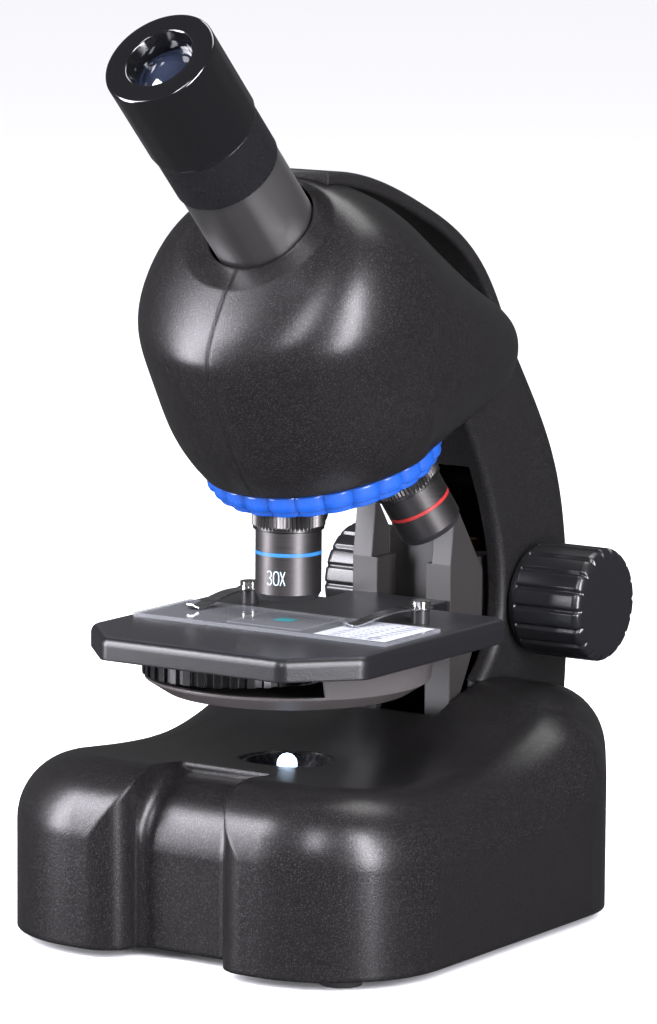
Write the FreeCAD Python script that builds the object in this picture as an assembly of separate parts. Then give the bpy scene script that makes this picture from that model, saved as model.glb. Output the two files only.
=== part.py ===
import FreeCAD, Part
import math
import os

V = FreeCAD.Vector
os.makedirs("parts", exist_ok=True)

# Millimetres.  The sizes below are laid out round the optical axis: x = 0 and y = 0 on the light's way up,
# -Y towards the user, z = 0 on the table.  save() moves every piece so that the origin is the middle of
# the whole microscope's footprint.

# ---- base ----
FOOT_H = 2.5                # rubber foot below the base
FOOT_R = 6.0
FOOT_POCKET = 1.2           # how deep each foot sits in the base plate
FOOT_PLACES = [(42.5, -39.0), (-42.5, -39.0), (49.0, 47.0), (-49.0, 47.0)]
BASE_HALF_W = 60.0          # half of the base's width
BASE_FRONT = 54.5           # front wall, in front of the optical axis
BASE_BACK = 112.0           # back wall, behind the optical axis
BASE_CORNER_R = 32.0        # front corners in plan
BASE_SHOULDER_Y = 57.0      # where the side walls start to close in
BASE_SHOULDER_R = 24.0
BASE_TAIL_HALF_W = 26.0     # half width of the back wall's corners
BASE_TAIL_R = 24.0
BASE_TOP = 44.0             # height of the flat round the lamp
BASE_HUMP = 56.0            # height under the arm
BASE_HUMP_Y = 66.0
BASE_TAIL_TOP = 46.0
BASE_EDGE_R = 17.0          # rounding between walls and top
BASE_WALL = 2.4
NOTCH_HALF_W = 14.0         # front notch between the two lobes
NOTCH_DEPTH = 10.5
NOTCH_EDGE_R = 4.0          # rounding where it meets the recess
LOBE_EDGE_R = 9.0           # rounding of the lobes beside it
PLATE_T = 2.0               # base plate
PLATE_GAP = 0.2

# ---- battery tray and lamp ----
CELL_R, CELL_L = 7.1, 50.0
CELL_PITCH = 15.2
TRAY_WALL = 1.6
TRAY_CENTRE_Y = 14.0
LAMP_R = 12.0
LAMP_DEPTH = 5.0
LAMP_INNER_R = 7.2
LED_R = 2.5
LED_TIP = 45.6

# ---- arm and carry strap ----
ARM_HALF_W = 17.0
ARM_WALL = 2.4
ARM_MOUTH_HALF_W = 12.5     # opening in the arm's front, where the carriage reaches in
STRAP_HALF_W = 12.0
STRAP_T = 3.8
STRAP_EDGE_R = 1.1
ARM_EDGE_R = 2.0

# ---- nosepiece and head ----
NOSE_TILT = 18.0            # tilt of the nosepiece, degrees
PIVOT_Y, PIVOT_Z = 16.7, 115.9
RING_R = 30.2
RING_LOBES = 25
RING_H = 6.0
RING_STEP_H = 1.8
RING_WALL = 2.6
TURRET_PLATE_T = 2.5
HEAD_WALL = 2.4
HEAD_RIM_GAP = 0.45         # between the ring and the head's rim
FLOOR_T = 2.4
FLOOR_RISE = 1.2            # floor of the head above its rim

# ---- tube and eyepiece ----
TUBE_TILT = 45.2            # tilt of the tube from upright, degrees
PRISM_Z = 167.0             # where the tube's axis meets the optical axis
EYE_LENGTH = 79.9           # from there to the eyepiece's top face
CAP_R, CAP_L = 14.3, 25.6
BAND_R, BAND_L = 13.7, 13.9
TUBE_R = 13.3
TUBE_BORE_R = 11.65
TUBE_L = 35.0
BARREL_CLEAR = 0.06
BARREL_L = 24.0
BARREL_WALL = 1.4
EYE_HOLE_R = 8.6
TUBE_HOLE_GAP = 0.8

# ---- objectives ----
SLIDE_TOP = 79.7
COLLAR_R, BODY_R, NECK_R = 9.25, 8.35, 5.6
COLLAR_BOTTOM = 23.2        # above the slide, for the objective in use
# name, gap left under it, third of a turn
OBJECTIVES = [("low", 5.8, 0), ("mid", 9.6, 1), ("high", 8.2, -1)]

# ---- stage ----
SLIDE_L, SLIDE_W, SLIDE_T = 76.0, 25.0, 1.0
STAGE_T = 5.8
STAGE_HALF_W = 41.5
STAGE_FRONT = 43.1
STAGE_FRONT_HALF_W = 26.7
STAGE_CHAMFER = 15.8
STAGE_BACK = 41.0
STAGE_SKIN = 2.6
STAGE_HOLE_R = 9.0
CLIP_POST_X, CLIP_POST_Y = 26.0, 21.0
CLIP_POST_R = 1.5
DISH_R = 37.5
DISH_BOTTOM_R = 31.0
DISH_DEPTH = 10.4           # below the stage
DISH_WALL = 1.8
WHEEL_X, WHEEL_Y = -9.3, -8.7
WHEEL_R = 24.0
WHEEL_T = 5.2
WHEEL_HOLE_R = 4.6
WHEEL_HOLES = 6

# ---- focus drive ----
KNOB_Y, KNOB_Z = 90.0, 75.0
KNOB_R, KNOB_L = 14.9, 22.4
KNOB_GAP = 0.8
KNOB_FLUTES = 18
SHAFT_R = 2.5
BUSH_R = 5.0
RUN_CLEAR = 0.05
MODULE = 0.8
PINION_TEETH = 12
LIFT_UP, LIFT_DOWN = 3.5, 10.0
CARRIAGE_HALF_W = 15.0
CARRIAGE_SLOT_HALF_W = 7.5
CARRIAGE_FRONT = 52.5
CARRIAGE_WEB_Y = 61.0
CARRIAGE_BACK = 68.0
CARRIAGE_BOTTOM = 47.0

ROCKER_PROUD = 1.0
SWITCH_Z, SWITCH_HALF_W, SWITCH_HALF_H = 22.0, 10.0, 6.5
SCREW_R, SCREW_HEAD_R, SCREW_HEAD_H = 1.5, 2.9, 1.4
BOSS_R = 3.4
PIVOT_SCREW_R = 2.0
HEAD_SCREWS = [(20.0, 171.0), (40.0, 150.0)]
SLIDER_HALF_W = 10.0        # tail of the carriage, between the rails
RAIL_Y, RAIL_DEPTH = 78.0, 6.0
RACK_HALF_W = 3.5
PRESSURE_ANGLE = 20.0
ADDENDUM, DEDENDUM, TOOTH_SHARE = 0.8, 1.1, 0.85
FLUTE_W, FLUTE_DEPTH = 1.3, 0.8
BASE_SCREWS = [(30.0, -36.0), (-30.0, -36.0), (50.0, 30.0), (-50.0, 30.0), (0.0, 94.0)]
HATCH_HALF_W, HATCH_HALF_L = 24.0, 26.0
BASE_SCREW_L, COVER_SCREW_L = 9.0, 4.5
COVER_SCREW_Y = TRAY_CENTRE_Y - HATCH_HALF_L + 3.7
ARM_SCREWS = [(101.0, 62.0), (95.0, 104.0)]

WHEEL_SCREW_R = 1.2
WHEEL_Z = 69.4              # middle of the filter wheel's thickness
CLIP_LIFT = 2.6             # clip's flat end above the slide
CLIP_RING_R = 3.2
CLIP_T, CLIP_W, CLIP_L = 0.4, 4.2, 24.0
CLIP_LEFT_TURN, CLIP_RIGHT_TURN = -5.0, -21.0
SLIDE_Y = -1.1
COVER_T = 0.17

SLACK = 0.3                 # air between pieces that move past each other

# ---- values that follow ----
STAGE_TOP = SLIDE_TOP - SLIDE_T
STAGE_BOTTOM = STAGE_TOP - STAGE_T
TUBE_DIR = V(0, -math.sin(math.radians(TUBE_TILT)), math.cos(math.radians(TUBE_TILT)))
NOSE_DIR = V(0, -math.sin(math.radians(NOSE_TILT)), math.cos(math.radians(NOSE_TILT)))
NOSE_BACK = V(0, math.cos(math.radians(NOSE_TILT)), math.sin(math.radians(NOSE_TILT)))
PIVOT = V(0, PIVOT_Y, PIVOT_Z)
PRISM_AT = V(0, 0, PRISM_Z)
EYE_TOP = PRISM_AT + TUBE_DIR * EYE_LENGTH
FRONT_REACH = -(EYE_TOP.y - CAP_R * math.cos(math.radians(TUBE_TILT)))
SHIFT = V(0, (FRONT_REACH - BASE_BACK - ROCKER_PROUD) / 2, 0)
PINION_R = MODULE * PINION_TEETH / 2
X, Y, Z = V(1, 0, 0), V(0, 1, 0), V(0, 0, 1)


def save(node, *solids):
    shape = solids[0] if len(solids) == 1 else Part.makeCompound(list(solids))
    shape = shape.copy()
    shape.translate(SHIFT)
    shape.exportStep("parts/%s.step" % node)


def fuse(first, *rest):
    return first.fuse(list(rest)).removeSplitter() if rest else first


def cut(first, *rest):
    return first.cut(list(rest))


def rod(radius, length, start, along=Z):
    return Part.makeCylinder(radius, length, start, along)


def tube(outer, inner, length, start, along=Z):
    return rod(outer, length, start, along).cut(rod(inner, length, start, along))


def box(x0, x1, y0, y1, z0, z1):
    return Part.makeBox(x1 - x0, y1 - y0, z1 - z0, V(x0, y0, z0))


def polygon(points):
    return Part.Face(Part.makePolygon(list(points) + [points[0]]))


def rounded(points, radii, z):
    """Closed flat outline whose corners are tangent arcs, at height z."""
    edges, ends = [], []
    count = len(points)
    for i in range(count):
        p = V(points[i][0], points[i][1], z)
        a = V(points[i - 1][0], points[i - 1][1], z) - p
        b = V(points[(i + 1) % count][0], points[(i + 1) % count][1], z) - p
        a.normalize()
        b.normalize()
        half = a.getAngle(b) / 2
        run = radii[i] / math.tan(half)
        middle = a + b
        middle.normalize()
        top = p + middle * (radii[i] / math.sin(half) - radii[i])
        ends.append((p + a * run, top, p + b * run))
    for i in range(count):
        start, top, end = ends[i]
        edges.append(Part.Arc(start, top, end).toShape())
        following = ends[(i + 1) % count][0]
        if end.distanceToPoint(following) > 1e-6:
            edges.append(Part.LineSegment(end, following).toShape())
    return Part.Wire(edges)


def extrude_x(points, half_w):
    """Side outline of (y, z) points, run from -half_w to half_w."""
    face = polygon([V(-half_w, y, z) for y, z in points])
    return face.extrude(V(2 * half_w, 0, 0))


def smooth_edge(points, x):
    curve = Part.BSplineCurve()
    curve.interpolate([V(x, y, z) for y, z in points])
    return curve.toShape()


def side_face(chains, x):
    """Flat face at x from chains of (y, z) points; long chains are smooth curves."""
    edges = []
    for i, chain in enumerate(chains):
        edges.append(smooth_edge(chain, x) if len(chain) > 2 else
                     Part.LineSegment(*[V(x, y, z) for y, z in chain]).toShape())
        a, b = chain[-1], chains[(i + 1) % len(chains)][0]
        if math.hypot(a[0] - b[0], a[1] - b[1]) > 1e-6:
            edges.append(Part.LineSegment(V(x, *a), V(x, *b)).toShape())
    return Part.Face(Part.Wire(edges))


def halves(shape):
    """Left and right of a shape that is parted at x = 0."""
    big = 400.0
    left = shape.common(box(-big, 0, -big, big, -big, big))
    right = shape.common(box(0, big, -big, big, -big, big))
    return left, right


# ------------------------------------------------------------------ base
def base_outline(inset, z):
    w, tail = BASE_HALF_W - inset, BASE_TAIL_HALF_W - inset
    points = [(-w, -BASE_FRONT + inset), (w, -BASE_FRONT + inset), (w, BASE_SHOULDER_Y - inset / 2),
              (tail, BASE_BACK - inset), (-tail, BASE_BACK - inset), (-w, BASE_SHOULDER_Y - inset / 2)]
    corner, shoulder, end = BASE_CORNER_R - inset, BASE_SHOULDER_R - inset, BASE_TAIL_R - inset
    return rounded(points, [corner, corner, shoulder, end, end, shoulder], z)


def base_body(inset):
    """The base's outer form, drawn in by inset all over: walls, flat, hump under the arm and front notch."""
    solid = Part.Face(base_outline(inset, FOOT_H)).extrude(V(0, 0, BASE_HUMP + 20))
    reach = 2 * BASE_BACK
    top = [(-BASE_FRONT - 30, BASE_TOP - inset), (0, BASE_TOP - inset),
           (BASE_TOP / 2, BASE_TOP + 0.6 - inset),
           (BASE_HUMP_Y - 22, BASE_TOP + 6 - inset), (BASE_HUMP_Y, BASE_HUMP - inset),
           (BASE_HUMP_Y + 24, BASE_HUMP - 4 - inset), (BASE_BACK + 6, BASE_TAIL_TOP - inset - 4)]
    under = side_face([top, [(BASE_BACK + 6, -5), (-BASE_FRONT - 30, -5)]], -reach)
    under = under.extrude(V(2 * reach, 0, 0))
    solid = solid.common(under)
    rim = [e for e in solid.Edges if e.BoundBox.ZMin > BASE_TOP - inset - 8]
    solid = solid.makeFillet(BASE_EDGE_R - inset, rim)
    return cut(solid, notch(inset))


def notch(inset):
    """What is cut from the front between the lobes: the front wall's own rounded profile, set back."""
    face_y, top, r = -BASE_FRONT + NOTCH_DEPTH + inset, BASE_TOP - inset, BASE_EDGE_R - inset
    knee = r * (1 - math.sqrt(0.5))
    edges = [Part.LineSegment(V(0, -BASE_FRONT - 9, 0), V(0, face_y, 0)).toShape(),
             Part.LineSegment(V(0, face_y, 0), V(0, face_y, top - r)).toShape(),
             Part.Arc(V(0, face_y, top - r), V(0, face_y + knee, top - knee),
                      V(0, face_y + r, top)).toShape(),
             Part.LineSegment(V(0, face_y + r, top), V(0, face_y + r, top + 9)).toShape(),
             Part.LineSegment(V(0, face_y + r, top + 9), V(0, -BASE_FRONT - 9, top + 9)).toShape(),
             Part.LineSegment(V(0, -BASE_FRONT - 9, top + 9), V(0, -BASE_FRONT - 9, 0)).toShape()]
    profile = Part.Face(Part.Wire(edges))
    half, wide = NOTCH_HALF_W + inset, 3 * NOTCH_HALF_W
    solid = profile.extrude(V(2 * half, 0, 0))
    solid.translate(V(-half, 0, 0))
    inner = [e for e in solid.Edges if e.BoundBox.XLength < 0.01 and e.BoundBox.YMin > face_y - 0.1
             and e.BoundBox.ZMin < top and e.BoundBox.YMax < face_y + r + 0.1]
    solid = solid.makeFillet(NOTCH_EDGE_R + inset, inner)
    broad = profile.extrude(V(2 * wide, 0, 0))
    broad.translate(V(-wide, 0, 0))
    return fuse(solid, *[broad.common(flare(side, inset)) for side in (-1, 1)])


def flare(side, inset):
    """Upright block whose curved face rounds the outer edge of a lobe beside the notch."""
    x, y, r = side * (NOTCH_HALF_W + LOBE_EDGE_R), -BASE_FRONT + LOBE_EDGE_R, LOBE_EDGE_R - inset
    near = side * (NOTCH_HALF_W + inset - 1)
    knee = r * math.sqrt(0.5)
    a, b = V(x - side * r, y, 0), V(x, y - r, 0)
    edges = [Part.Arc(a, V(x - side * knee, y - knee, 0), b).toShape(),
             Part.LineSegment(b, V(x, -BASE_FRONT - 9, 0)).toShape(),
             Part.LineSegment(V(x, -BASE_FRONT - 9, 0), V(near, -BASE_FRONT - 9, 0)).toShape(),
             Part.LineSegment(V(near, -BASE_FRONT - 9, 0), V(near, y, 0)).toShape(),
             Part.LineSegment(V(near, y, 0), a).toShape()]
    return Part.Face(Part.Wire(edges)).extrude(V(0, 0, BASE_HUMP + 20))


def base_shell():
    shell = cut(base_body(0), base_body(BASE_WALL))
    shell = shell.fuse(box(-20, 20, -20, 20, BASE_TOP - LAMP_DEPTH - 1, BASE_TOP - 1).common(
        rod(LAMP_R + 2, LAMP_DEPTH, V(0, 0, BASE_TOP - LAMP_DEPTH - 1))))
    shell = cut(shell, rod(LAMP_R + 0.1, LAMP_DEPTH + 2, V(0, 0, BASE_TOP - LAMP_DEPTH)),
                rod(LAMP_INNER_R, 9, V(0, 0, BASE_TOP - LAMP_DEPTH - 2)), carriage_way(),
                box(-SWITCH_HALF_W, SWITCH_HALF_W, BASE_BACK - 9, BASE_BACK + 9,
                    SWITCH_Z - SWITCH_HALF_H, SWITCH_Z + SWITCH_HALF_H))
    bosses = [tube(BOSS_R, SCREW_R, BASE_TOP, V(x, y, FOOT_H + PLATE_T)).common(base_body(BASE_WALL / 2))
              for x, y in BASE_SCREWS]
    return fuse(shell, *bosses)


def carriage_way():
    """Opening in the base's top that the carriage sinks into."""
    wide = box(-CARRIAGE_HALF_W - 1, CARRIAGE_HALF_W + 1, CARRIAGE_FRONT - 8, CARRIAGE_BACK - 2, 36, 70)
    return wide.fuse(box(-SLIDER_HALF_W - 2, SLIDER_HALF_W + 2, CARRIAGE_BACK - 3, KNOB_Y - 2, 36, 70))


def base_plate():
    solid = Part.Face(base_outline(BASE_WALL + PLATE_GAP, FOOT_H)).extrude(V(0, 0, PLATE_T))
    solid = cut(solid, notch(BASE_WALL + PLATE_GAP))
    cups = [rod(FOOT_R + 1.2, FOOT_POCKET + 1, V(x, y, FOOT_H)) for x, y in FOOT_PLACES]
    solid = fuse(solid, *cups)
    feet = [rod(FOOT_R, FOOT_POCKET, V(x, y, FOOT_H)) for x, y in FOOT_PLACES]
    screws = [rod(SCREW_R, 9, V(x, y, 0)) for x, y in BASE_SCREWS]
    heads = [rod(SCREW_HEAD_R, SCREW_HEAD_H, V(x, y, FOOT_H)) for x, y in BASE_SCREWS]
    hatch = box(-HATCH_HALF_W, HATCH_HALF_W, TRAY_CENTRE_Y - HATCH_HALF_L,
                TRAY_CENTRE_Y + HATCH_HALF_L, 0, 9)
    return cut(solid, *(feet + screws + heads + [hatch]))


def battery_cover():
    half_w, half_l = HATCH_HALF_W - PLATE_GAP, HATCH_HALF_L - PLATE_GAP
    solid = box(-half_w, half_w, TRAY_CENTRE_Y - half_l, TRAY_CENTRE_Y + half_l, FOOT_H, FOOT_H + PLATE_T)
    return cut(solid, rod(SCREW_R, 9, V(0, COVER_SCREW_Y, 0)),
               rod(SCREW_HEAD_R, SCREW_HEAD_H, V(0, COVER_SCREW_Y, FOOT_H)))


def pan_screw(x, y, z, length, radius, head_r, head_h):
    """Screw driven upwards from z, with a cross recess in its head."""
    body = fuse(rod(head_r, head_h, V(x, y, z)), rod(radius, length, V(x, y, z)))
    slot = head_r * 0.55
    return cut(body, box(x - slot, x + slot, y - 0.3, y + 0.3, z, z + head_h / 2),
               box(x - 0.3, x + 0.3, y - slot, y + slot, z, z + head_h / 2))


def build_base():
    save("base_shell", base_shell())
    save("base_plate", base_plate())
    save("battery_cover", battery_cover())
    save("rubber_feet", *[Part.makeCone(FOOT_R - 0.8, FOOT_R, FOOT_H + FOOT_POCKET, V(x, y, 0))
                          for x, y in FOOT_PLACES])
    places = [(x, y, BASE_SCREW_L) for x, y in BASE_SCREWS] + [(0, COVER_SCREW_Y, COVER_SCREW_L)]
    save("base_screws", *[pan_screw(x, y, FOOT_H, length, SCREW_R, SCREW_HEAD_R, SCREW_HEAD_H)
                          for x, y, length in places])


# ------------------------------------------------------------------ battery tray, lamp and switch
def build_electrics():
    floor = FOOT_H + PLATE_T + 0.3
    top = floor + 2 * CELL_R + 0.6
    half_l, half_w = CELL_L / 2 + 4, 1.5 * CELL_PITCH + 1
    cy = TRAY_CENTRE_Y
    outer = box(-half_l - TRAY_WALL, half_l + TRAY_WALL, cy - half_w - TRAY_WALL, cy + half_w + TRAY_WALL,
                floor, top + TRAY_WALL)
    save("battery_tray", cut(outer, box(-half_l, half_l, cy - half_w, cy + half_w, floor - 1, top),
                             rod(SCREW_R + 1, 9, V(0, COVER_SCREW_Y, 0))))
    cells, contacts = [], []
    for i in (-1, 0, 1):
        y, turn = cy + i * CELL_PITCH, (1 if i else -1)
        at = V(-turn * CELL_L / 2, y, floor + CELL_R + 0.2)
        cells.append(rod(CELL_R, CELL_L - 1.5, at, V(turn, 0, 0)).fuse(
            rod(2.6, 1.5, V(turn * (CELL_L / 2 - 1.5), y, at.z), V(turn, 0, 0))))
        for side in (-1, 1):
            end = box(0, 0.4, y - 6, y + 6, at.z - 5, at.z + 5)
            end.translate(V(side * half_l - (0.4 if side > 0 else 0), 0, 0))
            bump = tube(3.0, 2.2, 3.0, V(side * (half_l - 3.4), y, at.z), X) if side > 0 else \
                tube(3.0, 2.2, 3.0, V(side * (half_l - 0.4), y, at.z), X)
            contacts.append(end.fuse(bump))
    save("batteries", *cells)
    save("battery_contacts", *contacts)

    seat = BASE_TOP - LAMP_DEPTH
    dish = Part.makeCone(LAMP_INNER_R, LAMP_R - 1.2, LAMP_DEPTH, V(0, 0, seat))
    save("lamp_ring", cut(rod(LAMP_R, LAMP_DEPTH - 0.4, V(0, 0, seat)), dish))
    bowl = Part.makeCone(3.4, LAMP_INNER_R - 0.3, 3.4, V(0, 0, seat - 2.4))
    save("lamp_reflector", cut(rod(LAMP_INNER_R - 0.1, 3.4, V(0, 0, seat - 3.4)), bowl,
                               rod(LED_R + 0.1, 9, V(0, 0, seat - 5))))
    led = fuse(rod(LED_R, LED_TIP - LED_R - seat + 3.6, V(0, 0, seat - 3.6)),
               Part.makeSphere(LED_R, V(0, 0, LED_TIP - LED_R)))
    save("led", led)
    save("led_board", box(-9, 9, -6, 6, seat - 5.2, seat - 3.8))

    z0, z1 = SWITCH_Z - SWITCH_HALF_H, SWITCH_Z + SWITCH_HALF_H
    w, back = SWITCH_HALF_W, BASE_BACK
    body = box(-w + 0.1, w - 0.1, back - 12, back, z0 + 0.1, z1 - 0.1)
    body = cut(body, box(-w + 1.5, w - 1.5, back - 9, back + 2, z0 + 1.5, z1 - 1.5))
    save("switch_body", body)
    r = SWITCH_HALF_H - 2.1
    rocker = rod(r, 2 * w - 3.6, V(-w + 1.8, back - 1.5, SWITCH_Z), X)
    rocker = rocker.common(box(-w, w, back - 6, back + ROCKER_PROUD, z0, z1))
    save("switch_rocker", rocker)


# ------------------------------------------------------------------ arm and carry strap
def arm_profile():
    """Back edge from strap to base, then the hollow front edge back up, as (y, z) points."""
    back = [(76, 148), (84, 137), (93.5, 124), (102, 109), (107, 92), (109, 72), (109, 56), (107, 38)]
    front = [(62, 38), (66, 57), (72, 64), (75, 77), (73, 92), (66.3, 109), (59, 121.5), (50, 134)]
    return back, front


def arm_solid():
    back, front = arm_profile()
    solid = side_face([back, [back[-1], front[0]], front, [front[-1], back[0]]], -ARM_HALF_W)
    return solid.extrude(V(2 * ARM_HALF_W, 0, 0))


def arm_hollow():
    back, front = arm_profile()
    t = ARM_WALL
    inner_back = [(y - t, z) for y, z in back]
    inner_front = [(y + t, z) for y, z in front]
    inner_back[0] = (inner_back[0][0] - t, inner_back[0][1] - t)
    inner_front[-1] = (inner_front[-1][0] + t, inner_front[-1][1] - t)
    low = [(y, z - (9 if z < 40 else 0)) for y, z in inner_back]
    high = [(y, z - (9 if z < 40 else 0)) for y, z in inner_front]
    face = side_face([low, [low[-1], high[0]], high, [high[-1], low[0]]], -ARM_HALF_W + t)
    return face.extrude(V(2 * (ARM_HALF_W - t), 0, 0))


def strap_solid():
    outer = [(-1.5, 193.0), (10, 192), (25, 188.5), (45, 181), (61, 173), (74, 162), (83, 149), (87, 142)]
    inner = [(y - STRAP_T * nx, z - STRAP_T * nz) for (y, z), (nx, nz) in zip(outer, (
        (0, 1.0), (0.1, 1.0), (0.3, 0.95), (0.4, 0.92), (0.55, 0.84), (0.72, 0.7), (0.83, 0.56),
        (0.86, 0.5)))]
    face = side_face([outer, [outer[-1], inner[-1]], inner[::-1], [inner[0], outer[0]]], -STRAP_HALF_W)
    solid = face.extrude(V(2 * STRAP_HALF_W, 0, 0))
    rims = [e for e in solid.Edges if e.BoundBox.YLength > 40]
    return solid.makeFillet(STRAP_EDGE_R, rims)


def arm_and_strap():
    solid = arm_solid()
    rims = [e for e in solid.Edges if e.BoundBox.ZLength > 60 and e.BoundBox.XLength < 1]
    solid = solid.makeFillet(ARM_EDGE_R, rims)
    hollow = arm_hollow()
    shell = cut(solid, hollow)
    bosses = [rod(BOSS_R, 2 * ARM_HALF_W, V(-ARM_HALF_W, y, z), X).common(hollow) for y, z in ARM_SCREWS]
    mouth = box(-ARM_MOUTH_HALF_W, ARM_MOUTH_HALF_W, 55, KNOB_Y - 8, 40, 112)
    strap = cut(strap_solid(), head_solid(0), arm_solid())
    shell = fuse(cut(shell, mouth, base_body(0)), strap, *bosses)
    holes = [case_screw(-ARM_HALF_W, y, z, 0) for y, z in ARM_SCREWS]
    return cut(shell, rod(BUSH_R, 60, V(-30, KNOB_Y, KNOB_Z), X), *holes)


def case_screw(x, y, z, slot):
    """Screw that draws the two halves together; its head lies flush at x."""
    body = fuse(rod(SCREW_HEAD_R, SCREW_HEAD_H, V(x, y, z), X), rod(SCREW_R, -x + 8, V(x, y, z), X))
    if not slot:
        return body
    return cut(body, box(x, x + slot, y - 1.8, y + 1.8, z - 0.3, z + 0.3),
               box(x, x + slot, y - 0.3, y + 0.3, z - 1.8, z + 1.8))


def build_arm():
    left, right = halves(arm_and_strap())
    save("arm_left_shell", left)
    save("arm_right_shell", right)
    save("shaft_bushes", *[tube(BUSH_R, SHAFT_R + RUN_CLEAR, ARM_WALL, V(x, KNOB_Y, KNOB_Z), X)
                           for x in (-ARM_HALF_W, ARM_HALF_W - ARM_WALL)])
    rails = [box(x0, x1, RAIL_Y, RAIL_Y + RAIL_DEPTH, 50, 110).common(arm_hollow())
             for x0, x1 in ((-ARM_HALF_W, -SLIDER_HALF_W - RUN_CLEAR),
                            (SLIDER_HALF_W + RUN_CLEAR, ARM_HALF_W))]
    save("guide_rails", *[cut(rail, base_body(0)) for rail in rails])
    screws = [case_screw(-ARM_HALF_W, y, z, 0.7) for y, z in ARM_SCREWS]
    screws += [case_screw(-head_screw_x(y, z), y, z, 0.7) for y, z in HEAD_SCREWS]
    save("case_screws", *screws)


# ------------------------------------------------------------------ head
# Sections of the head, from its rim up to the tube's hole.  Each is an egg in plan: half width, reach to the
# front, reach to the back, all from a centre that is (back, up) from the turret's pivot, its own tilt, and
# how square its back is (2 is an ellipse).
HEAD_SECTIONS = [(31.0, 31.0, 68.0, 0.0, 6.4, 0.0, 3.2),
                 (37.0, 37.0, 60.0, 0.0, 22.0, 2.0, 2.8),
                 (38.5, 38.5, 45.0, -1.0, 37.0, 5.0, 2.4),
                 (38.5, 38.0, 37.0, -3.0, 49.0, 10.0, 2.0),
                 (35.0, 35.0, 30.0, -6.0, 58.5, 17.0, 2.0),
                 (28.5, 28.5, 22.0, -8.5, 66.0, 24.0, 2.0),
                 (20.5, 20.5, 15.5, -9.0, 70.2, 27.2, 2.0)]
EGG_POINTS = 16


def nose_point(x, back, up):
    """A point in the nosepiece's own frame: x, towards the back, and up its axis from the pivot."""
    return PIVOT + X * x + NOSE_BACK * back + NOSE_DIR * up


def egg(section, inset):
    half_w, front, back, c_back, c_up, tilt, power = section
    t = math.radians(tilt)
    curve, points = Part.BSplineCurve(), []
    for i in range(EGG_POINTS):
        a = 2 * math.pi * i / EGG_POINTS
        behind = math.sin(a) > 1e-9
        share = 2 / power if behind else 1.0
        across = (half_w - inset) * math.copysign(abs(math.cos(a)) ** share, math.cos(a))
        along = ((back if behind else front) - inset) * math.copysign(abs(math.sin(a)) ** share, math.sin(a))
        points.append(nose_point(across, c_back + along * math.cos(t), c_up + along * math.sin(t)))
    curve.interpolate(Points=points, PeriodicFlag=True)
    return Part.Wire(curve.toShape())


def head_solid(inset):
    sections = [list(s) for s in HEAD_SECTIONS]
    drop = (0, 0, 0, 0.2, 0.6, 0.9, 1.0)
    for s, share in zip(sections, drop):
        s[4] -= inset * share
    return Part.makeLoft([egg(s, inset) for s in sections], True, False)


def tube_hole(radius):
    return rod(radius, 40, PRISM_AT + TUBE_DIR * (EYE_LENGTH - CAP_L - BAND_L - 32), TUBE_DIR)


def head_shells():
    inner = head_solid(HEAD_WALL)
    below = rod(200, 60, PIVOT + NOSE_DIR * (RING_H + HEAD_RIM_GAP - 60), NOSE_DIR)
    open_end = rod(27, 12, nose_point(0, 0, 0), NOSE_DIR)
    bosses = [rod(BOSS_R, 90, V(-45, y, z), X).common(head_solid(HEAD_WALL / 2)) for y, z in HEAD_SCREWS]
    shell = fuse(cut(head_solid(0), inner), *bosses)
    screws = [case_screw(-head_screw_x(y, z), y, z, 0) for y, z in HEAD_SCREWS]
    wells = [rod(SCREW_HEAD_R + 0.1, 30, V(-head_screw_x(y, z) - 30, y, z), X) for y, z in HEAD_SCREWS]
    return halves(cut(shell, below, tube_hole(TUBE_R + TUBE_HOLE_GAP), open_end, arm_solid(),
                      *(screws + wells)))


def head_screw_x(y, z):
    """How far out the head's wall lies beside a screw, less a little, so that the screw's head sits sunk."""
    line = Part.LineSegment(V(0, y, z), V(90, y, z)).toShape()
    return head_solid(0).common(line).BoundBox.XMax - 1.5


def head_floor():
    """Plate that closes the head from below and carries the turret's pivot."""
    low = RING_H + HEAD_RIM_GAP + FLOOR_RISE
    slab = rod(150, FLOOR_T, PIVOT + NOSE_DIR * low, NOSE_DIR)
    plate = head_solid(HEAD_WALL + 0.1).common(slab)
    boss = rod(5.5, low - RING_H - 0.2, PIVOT + NOSE_DIR * (RING_H + 0.2), NOSE_DIR)
    eye = rod(6.5, 30, V(0, 0, PIVOT_Z), Z)
    return cut(fuse(plate, boss), rod(PIVOT_SCREW_R, 30, PIVOT, NOSE_DIR), eye, arm_solid())


def build_head():
    left, right = head_shells()
    save("head_left_shell", left)
    save("head_right_shell", right)
    save("head_floor", head_floor())


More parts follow.
